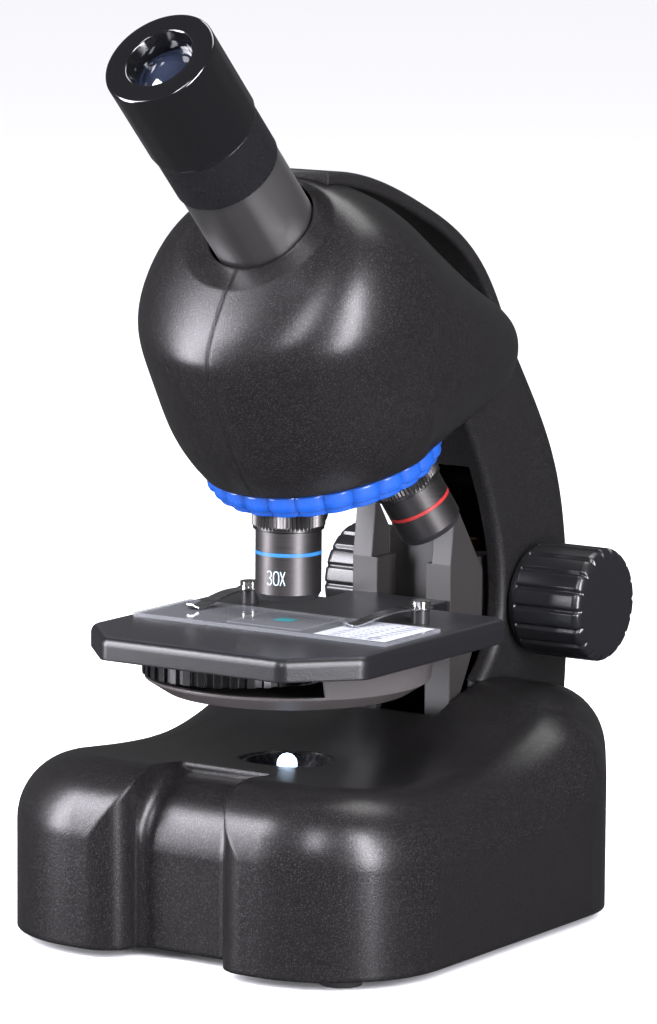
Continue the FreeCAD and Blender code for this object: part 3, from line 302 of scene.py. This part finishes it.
# ------------------------------------------------------------------ sizes and colours a user would change
class MicroscopeSettings(bpy.types.PropertyGroup):
    """Sizes and colours of the microscope's look."""

    shell_color: bpy.props.FloatVectorProperty(
        name="Housing colour", description="Base colour of the moulded housings", subtype="COLOR", size=3,
        default=(0.0075, 0.0066, 0.0066), min=0.0, max=1.0)
    turret_color: bpy.props.FloatVectorProperty(
        name="Turret colour", description="Base colour of the lobed turret ring", subtype="COLOR", size=3,
        default=(0.002, 0.045, 0.25), min=0.0, max=1.0)
    lamp_color: bpy.props.FloatVectorProperty(
        name="Lamp colour", description="Colour of the lit dome in the base", subtype="COLOR", size=3,
        default=(0.55, 0.75, 1.0), min=0.0, max=1.0)
    flutes: bpy.props.IntProperty(name="Knob flutes", description="Grooves round each focus knob",
                                  default=18, min=6, max=40)
    flute_depth: bpy.props.FloatProperty(name="Flute depth", description="Depth of a knob's grooves",
                                         default=0.0008, min=0.0001, max=0.003, unit="LENGTH")
    lobes: bpy.props.IntProperty(name="Turret lobes", description="Scallops round the turret ring",
                                 default=25, min=8, max=60)
    light: bpy.props.FloatProperty(name="Light", description="Strength of the studio light",
                                   default=1.0, min=0.1, max=5.0, subtype="FACTOR")


def settings():
    return bpy.context.scene.microscope


def wear(node, look):
    """Gives a carried node its finish."""
    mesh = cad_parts[node].data
    mesh.materials.clear()
    mesh.materials.append(look.material)


# ------------------------------------------------------------------ finishes of the carried nodes
def shell_look(name, color, rough, bevel=0.0016):
    look = speckled(name, color, (0.16, 0.16, 0.18), rough, 0.35)
    soften(look, bevel)
    return look


def soften(look, radius):
    """Rounds the look of a surface's edges, under whatever bump it has."""
    bevel = look.node("ShaderNodeBevel", {"samples": 6}, {"Radius": radius})
    bumps = [n for n in look.tree.nodes if n.type == "BUMP"]
    if bumps:
        look.plug(bumps[0].inputs["Normal"], bevel)
    else:
        look.set(Normal=bevel)


def stage_look():
    """Black textured plastic whose flat top is a greyer grain."""
    look = speckled("stage_black", (0.006, 0.006, 0.007), (0.05, 0.05, 0.055), 0.34)
    top = look.xyz(look.place())[2].above((SLIDE_TOP - 1.25) * MM)
    grain = look.noise(1400.0, 3.0)
    look.set(**{"Base Color": look.mix(top, (0.006, 0.006, 0.007), look.mix(grain, (0.008, 0.008, 0.009),
                                                                             (0.028, 0.028, 0.031)))})
    soften(look, 0.0007)
    return look


def label_look():
    """White paper with rows of short grey marks and a small ring in place of printed words."""
    look = Look("paper_label", (0.8, 0.8, 0.79), 0.6)
    x, y, _ = look.xyz(look.place())
    row = (y * (1 / MM) + 100).wrapped(0.0, 2.3)
    broken = look.noise(900.0, 0.0, look.place(scale=(1.0, 0.02, 1.0))).above(0.47)
    lines = row.between(0.6, 1.5) * broken * x.between(19 * MM, 34 * MM)
    dx, dy = x - 32 * MM, y - (SHIFT_Y - 9.5) * MM
    reach = (dx * dx + dy * dy).power(0.5)
    ring = reach.between(1.0 * MM, 1.6 * MM)
    look.set(**{"Base Color": look.mix(lines * 0.8 + ring * 0.8, (0.36, 0.37, 0.41), (0.07, 0.08, 0.10))})
    return look


def cover_look():
    """Thin pale glass with a small blue-green specimen in its middle."""
    look = Look("cover_film", (0.2, 0.2, 0.22), 0.08, alpha=0.4)
    x, y, _ = look.xyz(look.place())
    ragged = (look.noise(700.0) - 0.5) * (1.6 * MM)
    spot = (x + ragged).between(-2.6 * MM, 2.4 * MM) * (y + ragged).between((SHIFT_Y - 3.4) * MM,
                                                                         (SHIFT_Y + 1.2) * MM)
    look.set(**{"Base Color": look.mix(spot, (0.22, 0.22, 0.245), (0.03, 0.30, 0.33)),
                "Alpha": spot * 0.4 + 0.4})
    return look


def post_look():
    """Clip screw: a bright head on a black post."""
    look = Look("clip_post", (0.02, 0.02, 0.02), 0.2)
    head = look.xyz(look.place())[2].above((SLIDE_TOP + 2.9) * MM)
    look.set(**{"Base Color": look.mix(head, (0.015, 0.015, 0.016), (0.66, 0.65, 0.62)), "Metallic": head,
                "Roughness": 0.36 - head * 0.22})
    return look


def wheel_look():
    look = plain("wheel_black", (0.006, 0.006, 0.007), 0.3, grain=0.1)
    soften(look, 0.0003)
    return look


def printed_can():
    """Battery can with a dark and a copper part along its length."""
    look = Look("battery_can", (0.02, 0.02, 0.02), 0.3, metallic=0.6)
    x, _, _ = look.xyz(look.place())
    look.set(**{"Base Color": look.mix(x.above(8 * MM), (0.02, 0.02, 0.022), (0.5, 0.24, 0.08))})
    return look


def filter_look():
    """Clear film, a different colour at each of the wheel's holes."""
    look = Look("colour_film", (0.3, 0.5, 0.7), 0.2, alpha=0.7)
    x, y, _ = look.xyz(look.place())
    right, far = x.above(WHEEL_AT[0] * MM), y.above((SHIFT_Y + WHEEL_AT[1]) * MM)
    near_row = look.mix(right, (0.75, 0.2, 0.05), (0.1, 0.5, 0.15))
    far_row = look.mix(right, (0.05, 0.2, 0.7), (0.75, 0.6, 0.05))
    look.set(**{"Base Color": look.mix(far, near_row, far_row)})
    return look


def carried_looks():
    own = settings()
    shell = tuple(own.shell_color)
    housing = shell_look("housing", shell, 0.31)
    # The arm uses the housing plastic made 8% darker, which is painted shade for its side face. Its higher
    # roughness is a real matt finish.
    arm = shell_look("arm_matt_painted_shade", tuple(c * 0.92 for c in shell), 0.5, 0.0008)
    black = plain("moulded_black", (0.008, 0.008, 0.009), 0.45, grain=0.12)
    soften(black, 0.0003)
    grey = plain("warm_grey", (0.05, 0.045, 0.045), 0.4, grain=0.06)
    soften(grey, 0.0004)
    carriage = plain("carriage_grey", (0.020, 0.018, 0.018), 0.42, grain=0.06)
    soften(carriage, 0.0004)
    ring_grey = brushed("lamp_silver", (0.10, 0.10, 0.11), 0.25, (900.0, 900.0, 3.0))
    band = plain("band_black", (0.005, 0.005, 0.006), 0.28)
    soften(band, 0.0003)
    tube = brushed("tube_satin", (0.33, 0.32, 0.32), 0.42, (300.0, 3.0, 3.0))
    barrel = brushed("objective_gunmetal", (0.105, 0.10, 0.10), 0.42, (3.0, 3.0, 2200.0))
    satin = plain("satin_black_metal", (0.012, 0.012, 0.013), 0.3)
    steel = brushed("plain_steel", (0.5, 0.5, 0.51), 0.3, (500.0, 3.0, 3.0))
    chrome = plain("bright_chrome", (0.68, 0.68, 0.7), 0.1, metallic=1.0, tint=0.03, spread=0.02)
    brass = brushed("plain_brass", (0.62, 0.45, 0.2), 0.32, (3.0, 500.0, 3.0))
    rubber = plain("foot_rubber", (0.016, 0.016, 0.016), 0.75, grain=0.2, grain_scale=600.0)
    lens = plain("coated_lens", (0.012, 0.016, 0.03), 0.04, coat=1.0, tint=0.3, spread=0.01, coat_rough=0.03)
    glass = plain("slide_glass", (0.16, 0.165, 0.18), 0.1, alpha=0.6, tint=0.04, spread=0.02)
    cover = cover_look()
    prism = plain("prism_glass", (0.7, 0.75, 0.78), 0.05, alpha=0.4, tint=0.04, spread=0.02)
    led = Look("lit_dome", (0.8, 0.9, 1.0), 0.15)
    led.set(**{"Emission Color": tuple(own.lamp_color), "Emission Strength": 9.0})
    board = plain("circuit_board", (0.02, 0.10, 0.05), 0.4)
    return {
        housing: ("base_shell", "head_left_shell", "head_right_shell"),
        arm: ("arm_left_shell", "arm_right_shell"),
        black: ("base_plate", "battery_cover", "battery_tray", "head_floor", "prism_holder", "switch_body",
                "switch_rocker", "guide_rails"),
        carriage: ("stage_carriage",),
        wheel_look(): ("filter_wheel",),
        grey: ("wheel_housing",),
        ring_grey: ("lamp_ring", "lamp_reflector"),
        band: ("tube_band",),
        tube: ("drawtube",),
        barrel: tuple("objective_%s_barrel" % name for name, _, _, _ in OBJECTIVES),
        satin: ("objective_rims", "turret_plate", "eyepiece_barrel"),
        stage_look(): ("stage_plate",),
        steel: ("focus_shaft", "base_screws", "case_screws", "wheel_screw", "detent_spring", "pivot_screw"),
        post_look(): ("clip_screws",),
        chrome: ("battery_contacts",),
        brass: ("shaft_bushes", "pinion", "rack"),
        rubber: ("rubber_feet",),
        lens: ("eye_lens", "field_lens", "objective_lenses"),
        glass: ("specimen_slide",),
        cover: ("cover_glass",),
        prism: ("prism",),
        led: ("led",),
        board: ("led_board",),
        printed_can(): ("batteries",),
        filter_look(): ("colour_filters",),
        label_look(): ("slide_label",),
    }


class MICROSCOPE_OT_finishes(bpy.types.Operator):
    """Gives every carried node its procedural finish"""

    bl_idname = "microscope.finishes"
    bl_label = "Finishes"

    def execute(self, context):
        for look, nodes in carried_looks().items():
            for node in nodes:
                wear(node, look)
        return {"FINISHED"}


# ------------------------------------------------------------------ finer pieces
def fluted(flutes, depth, outer):
    """Narrow grooves with soft walls, spaced evenly: a radius less depth near each groove's middle."""
    def radius(r, h, a):
        across = ((a * flutes / TAU) % 1.0 - 0.5) * TAU * outer / flutes
        groove = depth * np.exp(-(across / 0.55) ** 4)
        return r - groove * np.clip((r - outer + 2.2) / 1.0, 0, 1) * np.clip((h - 2.2) / 0.4, 0, 1)
    return radius


class MICROSCOPE_OT_knobs(bpy.types.Operator):
    """Builds both focus knobs: an inner rim, soft-edged flutes and a slightly domed end"""

    bl_idname = "microscope.knobs"
    bl_label = "Focus knobs"

    def execute(self, context):
        own = settings()
        r, length = KNOB_R, KNOB_L
        look = plain("knob_black", (0.006, 0.006, 0.007), 0.3, grain=0.08)
        profile = ([(0, 0), (12.6, 0)] + arc(13.1, 0.6, 0.6, -90, 0, 4) + [(13.7, 1.3), (13.4, 1.9)]
                   + arc(14.3, 2.6, 0.6, -90, 0, 4) + dense([(r, 2.7), (r, length - 2.5)], 1.2)
                   + arc(r - 2.2, length - 2.6, 2.2, 0, 84, 10) + [(11.9, length - 0.35), (6.0, length - 0.1),
                                                                  (0, length)])
        for side, name in ((1, "right"), (-1, "left")):
            at = axis_frame((side * KNOB_INNER, *KNOB_AT), (side, 0, 0), (0, 0, 1))
            grid = turned(profile, at, 16 * own.flutes, fluted(own.flutes, own.flute_depth / MM, r))
            make_piece("fine_knob_" + name, [grid], look.material, "focus", sharp=50.0,
                       replaces=("knob_" + name,))
        return {"FINISHED"}


class MICROSCOPE_OT_eyepiece(bpy.types.Operator):
    """Builds the gloss eyepiece cap with faint broad facets, rounded rims and a tapered eye hole"""

    bl_idname = "microscope.eyepiece"
    bl_label = "Eyepiece"

    def execute(self, context):
        r, length, facets = CAP_R, CAP_L, 16
        look = plain("cap_gloss", (0.003, 0.003, 0.0035), 0.13, coat=0.6, tint=0.1, spread=0.02,
                     coat_rough=0.08)
        profile = ([(7.6, 0.1), (12.4, 0.0), (13.7, 0.0)] + arc(13.72, 0.5, 0.5, -90, 0, 4)
                   + dense([(r, 1.0), (r, length - 1.0)], 2.0) + arc(r - 0.7, length - 0.7, 0.7, 0, 90, 6)
                   + [(11.0, length)] + arc(9.1, length - 0.5, 0.5, 90, 180, 5) + [(7.65, length - 2.2)]
                   + dense([(7.6, length - 2.4), (7.6, 0.4)], 3.0))

        def facet(rr, hh, aa):
            wave = 0.5 - 0.5 * np.cos(facets * aa)
            inside = np.clip((rr - 13.9) / 0.3, 0, 1) * np.clip((23.6 - hh) / 2.0, 0, 1)
            return rr - 0.14 * wave * inside

        grid = turned(profile, eye_at(length), 256, facet)
        make_piece("fine_eyepiece_cap", [grid], look.material, "eyepiece",
                   wrap=(True, True), sharp=40.0, replaces=("eyepiece_cap",))
        return {"FINISHED"}


class MICROSCOPE_OT_turret(bpy.types.Operator):
    """Builds the lobed turret ring: two tiers of round scallops with soft edges"""

    bl_idname = "microscope.turret"
    bl_label = "Turret ring"

    def execute(self, context):
        own = settings()
        look = plain("turret_blue", tuple(own.turret_color), 0.34, grain=0.05, tint=0.06)
        profile = ([(27.65, 0.0), (28.0, 0.0)] + arc(28.3, 0.5, 0.5, -90, 0, 4) + [(28.8, 1.6)]
                   + arc(29.4, 2.3, 0.6, -90, 0, 4) + [(30.0, 2.4)] + dense([(30.15, 2.6), (30.15, 5.2)], 0.9)
                   + arc(29.45, 5.3, 0.7, 0, 90, 5) + [(27.65, 6.0)])

        def scallop(rr, hh, aa):
            lobe = (aa * own.lobes / TAU) % 1.0 - 0.5
            dip = 1.15 * (2 * np.abs(lobe)) ** 2.6
            return rr - dip * np.clip((rr - 28.0) / 0.6, 0, 1)

        at = axis_frame(PIVOT, tuple(nose_axis()))
        make_piece("fine_turret_ring", [turned(profile, at, 16 * own.lobes, scallop)], look.material, "turret",
                   wrap=(True, True), sharp=50.0, replaces=("turret_ring",))
        return {"FINISHED"}


NUMBER_STROKES = (
    [(-3.1, 2.9), (-2.7, 3.25), (-1.9, 3.25), (-1.5, 2.8), (-1.5, 2.2), (-1.9, 1.75), (-2.4, 1.7)],
    [(-2.4, 1.7), (-1.85, 1.6), (-1.4, 1.1), (-1.4, 0.5), (-1.9, 0.05), (-2.7, 0.05), (-3.15, 0.45)],
    [(0.3, 3.3), (-0.35, 3.1), (-0.65, 2.3), (-0.65, 1.0), (-0.35, 0.2), (0.3, 0.0), (0.95, 0.2), (1.25, 1.0),
     (1.25, 2.3), (0.95, 3.1), (0.3, 3.3)],
    [(1.75, 3.3), (3.35, 0.0)], [(3.35, 3.3), (1.75, 0.0)])
NUMBER_SHAPE = np.array([0.74, 1.05])


def stroke_on_barrel(points, at, radius, height, facing, width=0.28, lift=0.05):
    """A pen stroke laid on a cylinder: across runs round it, up runs along it; its section is a flat bar."""
    p = np.array(dense(points, 0.4), float) * NUMBER_SHAPE
    step = np.gradient(p, axis=0)
    step /= np.linalg.norm(step, axis=1)[:, None]
    side = np.stack([-step[:, 1], step[:, 0]], 1) * width / 2
    rows = []
    for offset, out in ((side, lift), (-side, lift), (-side, -0.1), (side, -0.1)):
        q = p + offset
        a = facing + q[:, 0] / radius
        origin, u, v, w = at
        rows.append(origin + (radius + out) * (np.cos(a)[:, None] * u + np.sin(a)[:, None] * v)
                    + (height + q[:, 1])[:, None] * w)
    grid = np.stack(rows, 1)
    ends = [np.repeat(grid[k].mean(0)[None, None], 4, 1) for k in (0, -1)]
    return np.concatenate([ends[0], grid, ends[1]])


class MICROSCOPE_OT_objectives(bpy.types.Operator):
    """Builds the objectives' knurled collars, coloured bands and the number on the one in use"""

    bl_idname = "microscope.objectives"
    bl_label = "Objectives"

    def execute(self, context):
        steel = brushed("collar_gunmetal", (0.12, 0.115, 0.115), 0.34, (3.0, 3.0, 1500.0))
        ribs, r = 56, COLLAR_R
        profile = ([(5.7, 0.0), (8.7, 0.0), (9.0, 0.25), (9.0, 0.9), (r, 1.2)]
                   + dense([(r, 1.3), (r, 6.6)], 1.0) + [(r, 6.7), (9.0, 7.0), (8.9, 10.4), (5.7, 10.4)])

        def knurl(rr, hh, aa):
            rib = np.abs((aa * ribs / TAU) % 1.0 - 0.5) * 2
            return rr - 0.32 * rib * (rr > 9.1)

        for name, _, third, color in OBJECTIVES:
            origin, u, v, w = objective_at(third)
            at = (origin + w * COLLAR_LOW, u, v, w)
            make_piece("fine_collar_" + name, [turned(profile, at, 8 * ribs, knurl)], steel.material, "turret",
                       wrap=(True, True), replaces=("objective_%s_collar" % name,))
            band = plain("band_" + name, color, 0.4)
            ring = [(8.0, -6.15), (8.37, -6.1), (8.37, -5.2), (8.0, -5.15)]
            make_piece("colour_band_" + name, [turned(ring, at, 96)], band.material, "turret",
                       wrap=(True, True))
        at = objective_at(0)
        ink = plain("number_ink", (0.30, 0.37, 0.42), 0.5)
        facing = math.radians(NUMBER_FACING)
        strokes = [stroke_on_barrel(s, at, BARREL_R, SLIDE_TOP + NUMBER_RISE, facing) for s in NUMBER_STROKES]
        make_piece("objective_number", strokes, ink.material, "turret")
        return {"FINISHED"}


def smooth_path(points, count=8):
    """Catmull-Rom curve through the points."""
    p = np.array(points, float)
    p = np.concatenate([2 * p[:1] - p[1:2], p, 2 * p[-1:] - p[-2:-1]])
    t = np.linspace(0, 1, count, endpoint=False)[:, None]
    a, b, c, d = [p[k:len(p) - 3 + k, None] for k in range(4)]
    curve = 0.5 * (2 * b + (c - a) * t + (2 * a - 5 * b + 4 * c - d) * t ** 2
                   + (3 * b - a - 3 * c + d) * t ** 3)
    return np.concatenate([curve.reshape(-1, p.shape[1]), p[-2:-1]])


class MICROSCOPE_OT_clips(bpy.types.Operator):
    """Builds the two sprung clips: a ring round the post and a flat strip that dips and curls up at its tip"""

    bl_idname = "microscope.clips"
    bl_label = "Clips"

    def execute(self, context):
        look = brushed("clip_steel", (0.46, 0.46, 0.47), 0.26, (2.0, 400.0, 2.0))
        top, thick = SLIDE_TOP + 2.6, 0.4
        path = smooth_path([(2.3, top), (8.0, top), (14.0, top - 0.9), (19.0, SLIDE_TOP + 0.5),
                            (21.4, SLIDE_TOP + 0.12), (23.0, SLIDE_TOP + 0.55), (23.9, SLIDE_TOP + 1.25)])
        reach = path[:, 0]
        half = np.interp(reach, [2.0, 4.0, 19.0, 22.5, 24.0], [2.3, 2.1, 2.1, 1.9, 1.0])
        for side, name, turn in ((-1, "left", -5.0), (1, "right", -21.0)):
            a = math.radians(turn)
            along, across = np.array([math.sin(a), -math.cos(a), 0]), np.array([math.cos(a), math.sin(a), 0])
            post = np.array([side * CLIP_POST[0], CLIP_POST[1], 0.0])
            middle = post + reach[:, None] * along + path[:, 1:] * np.array([0, 0, 1.0])
            up = np.array([0, 0, thick])
            rows = [middle - half[:, None] * across, middle + half[:, None] * across,
                    middle + half[:, None] * across + up, middle - half[:, None] * across + up]
            grid = np.stack(rows, 1)
            ends = [np.repeat(grid[k].mean(0)[None, None], 4, 1) for k in (0, -1)]
            strip = np.concatenate([ends[0], grid, ends[1]])
            body = "clip_" + name[0]
            make_piece("fine_clip_" + name, [strip], look.material, body, sharp=40.0,
                       replaces=("clip_" + name,))
            ring = [(1.56, 0.0), (3.15, 0.0), (3.2, 0.1), (3.2, 0.35), (3.1, thick), (1.56, thick)]
            at = axis_frame(post + np.array([0, 0, top]), (0, 0, 1))
            make_piece("clip_ring_" + name, [turned(ring, at, 64)], look.material, body,
                       wrap=(True, True))
        return {"FINISHED"}


# ------------------------------------------------------------------ studio
CAMERA = {"azimuth": 33.4655, "elevation": 8.6832, "roll": 0.4569, "distance": 1327.15, "lens": 186.66,
          "target": (8.404, 5.295, 107.155)}


# name, place and size in metres, power in watts and colour
LIGHTS = (("left_strip", (-0.67, -0.67, 0.40), (0.34, 0.95), 34, (0.94, 0.93, 1.0)),
          ("right_strip", (0.87, -0.37, 0.36), (0.2, 0.95), 30, (0.95, 0.94, 1.0)),
          ("front_strip", (0.40, -1.10, 0.85), (0.14, 0.7), 14, (0.94, 0.93, 1.0)),
          ("top", (0.0, 0.3, 0.95), (0.7, 0.4), 6, (1.0, 1.0, 1.0)))
FLOOR_HALF = 9.0            # metres
SKY_FILL, SKY_GLOSS = 1.1, 0.10     # sky on matt surfaces, and in reflections


def camera_matrix():
    """Camera looking at its target from the given azimuth and elevation, rolled about its own axis."""
    a, e, r = [math.radians(CAMERA[k]) for k in ("azimuth", "elevation", "roll")]
    back = Vector((math.sin(a) * math.cos(e), -math.cos(a) * math.cos(e), math.sin(e)))
    right = Vector((math.cos(a), math.sin(a), 0.0))
    up = back.cross(right)
    x = right * math.cos(r) + up * math.sin(r)
    y = up * math.cos(r) - right * math.sin(r)
    at = Vector(CAMERA["target"]) + back * CAMERA["distance"] + Vector((0, SHIFT_Y, 0))
    matrix = Matrix((x, y, back)).transposed().to_4x4()
    matrix.translation = at * MM
    return matrix


def area_light(name, at, target, size, power, color):
    data = bpy.data.lights.new(name, "AREA")
    data.shape, data.size, data.size_y = "RECTANGLE", size[0], size[1]
    data.energy, data.color = power, color
    obj = bpy.data.objects.new(name, data)
    bpy.context.scene.collection.objects.link(obj)
    obj.location = at
    obj.rotation_mode = "QUATERNION"
    obj.rotation_quaternion = (Vector(target) - Vector(at)).to_track_quat("-Z", "Y")
    return obj


class MICROSCOPE_OT_stage(bpy.types.Operator):
    """Sets up the plain pale floor, soft studio light and the camera"""

    bl_idname = "microscope.stage"
    bl_label = "Stage"

    def execute(self, context):
        scene = context.scene
        level = settings().light
        n = FLOOR_HALF
        mesh = bpy.data.meshes.new("floor")
        mesh.from_pydata([(-n, -n, 0), (n, -n, 0), (n, n, 0), (-n, n, 0)], [], [(0, 1, 2, 3)])
        floor = bpy.data.objects.new("floor", mesh)
        scene.collection.objects.link(floor)
        paper = Look("pale_floor", (0.86, 0.86, 0.87), 0.85)
        paper.set(Roughness=paper.noise(6.0) * 0.05 + 0.82)
        mesh.materials.append(paper.material)
        floor.visible_glossy = False
        scene.view_settings.view_transform = "Standard"
        world = bpy.data.worlds.new("studio")
        scene.world = world
        world.use_nodes = True
        sky = Tree(world.node_tree)
        path = world.node_tree.nodes.new("ShaderNodeLightPath").outputs
        seen = Value(sky, path["Is Camera Ray"]) + Value(sky, path["Is Diffuse Ray"]) * (SKY_FILL * level)
        back = world.node_tree.nodes["Background"].inputs
        sky.plug(back["Color"], (0.97, 0.97, 1.0))
        sky.plug(back["Strength"], seen + SKY_GLOSS * level)
        aim = (0.0, 0.0, 0.11)
        [area_light(name, at, aim, size, power * level, color)
                          for name, at, size, power, color in LIGHTS]
        data = bpy.data.cameras.new("camera")
        data.lens, data.sensor_width = CAMERA["lens"], 36.0
        data.clip_start, data.clip_end = 0.05, 20.0
        camera = bpy.data.objects.new("camera", data)
        scene.collection.objects.link(camera)
        camera.matrix_world = camera_matrix()
        scene.camera = camera
        return {"FINISHED"}


class MICROSCOPE_PT_panel(bpy.types.Panel):
    """Sizes, colours and the steps that build the microscope"""

    bl_label = "Microscope"
    bl_idname = "MICROSCOPE_PT_panel"
    bl_space_type = "VIEW_3D"
    bl_region_type = "UI"
    bl_category = "Microscope"

    def draw(self, context):
        for name in MicroscopeSettings.__annotations__:
            self.layout.prop(context.scene.microscope, name)
        for operator in OPERATORS:
            self.layout.operator(operator.bl_idname)


OPERATORS = (MICROSCOPE_OT_finishes, MICROSCOPE_OT_knobs, MICROSCOPE_OT_eyepiece, MICROSCOPE_OT_turret,
             MICROSCOPE_OT_objectives, MICROSCOPE_OT_clips, MICROSCOPE_OT_stage)
CLASSES = (MicroscopeSettings, *OPERATORS, MICROSCOPE_PT_panel)


def register():
    for cls in CLASSES:
        bpy.utils.register_class(cls)
    bpy.types.Scene.microscope = bpy.props.PointerProperty(type=MicroscopeSettings)


def unregister():
    del bpy.types.Scene.microscope
    for cls in reversed(CLASSES):
        bpy.utils.unregister_class(cls)


def main():
    register()
    for operator in OPERATORS:
        group, name = operator.bl_idname.split(".")
        getattr(getattr(bpy.ops, group), name)()


if __name__ == "__main__":
    main()
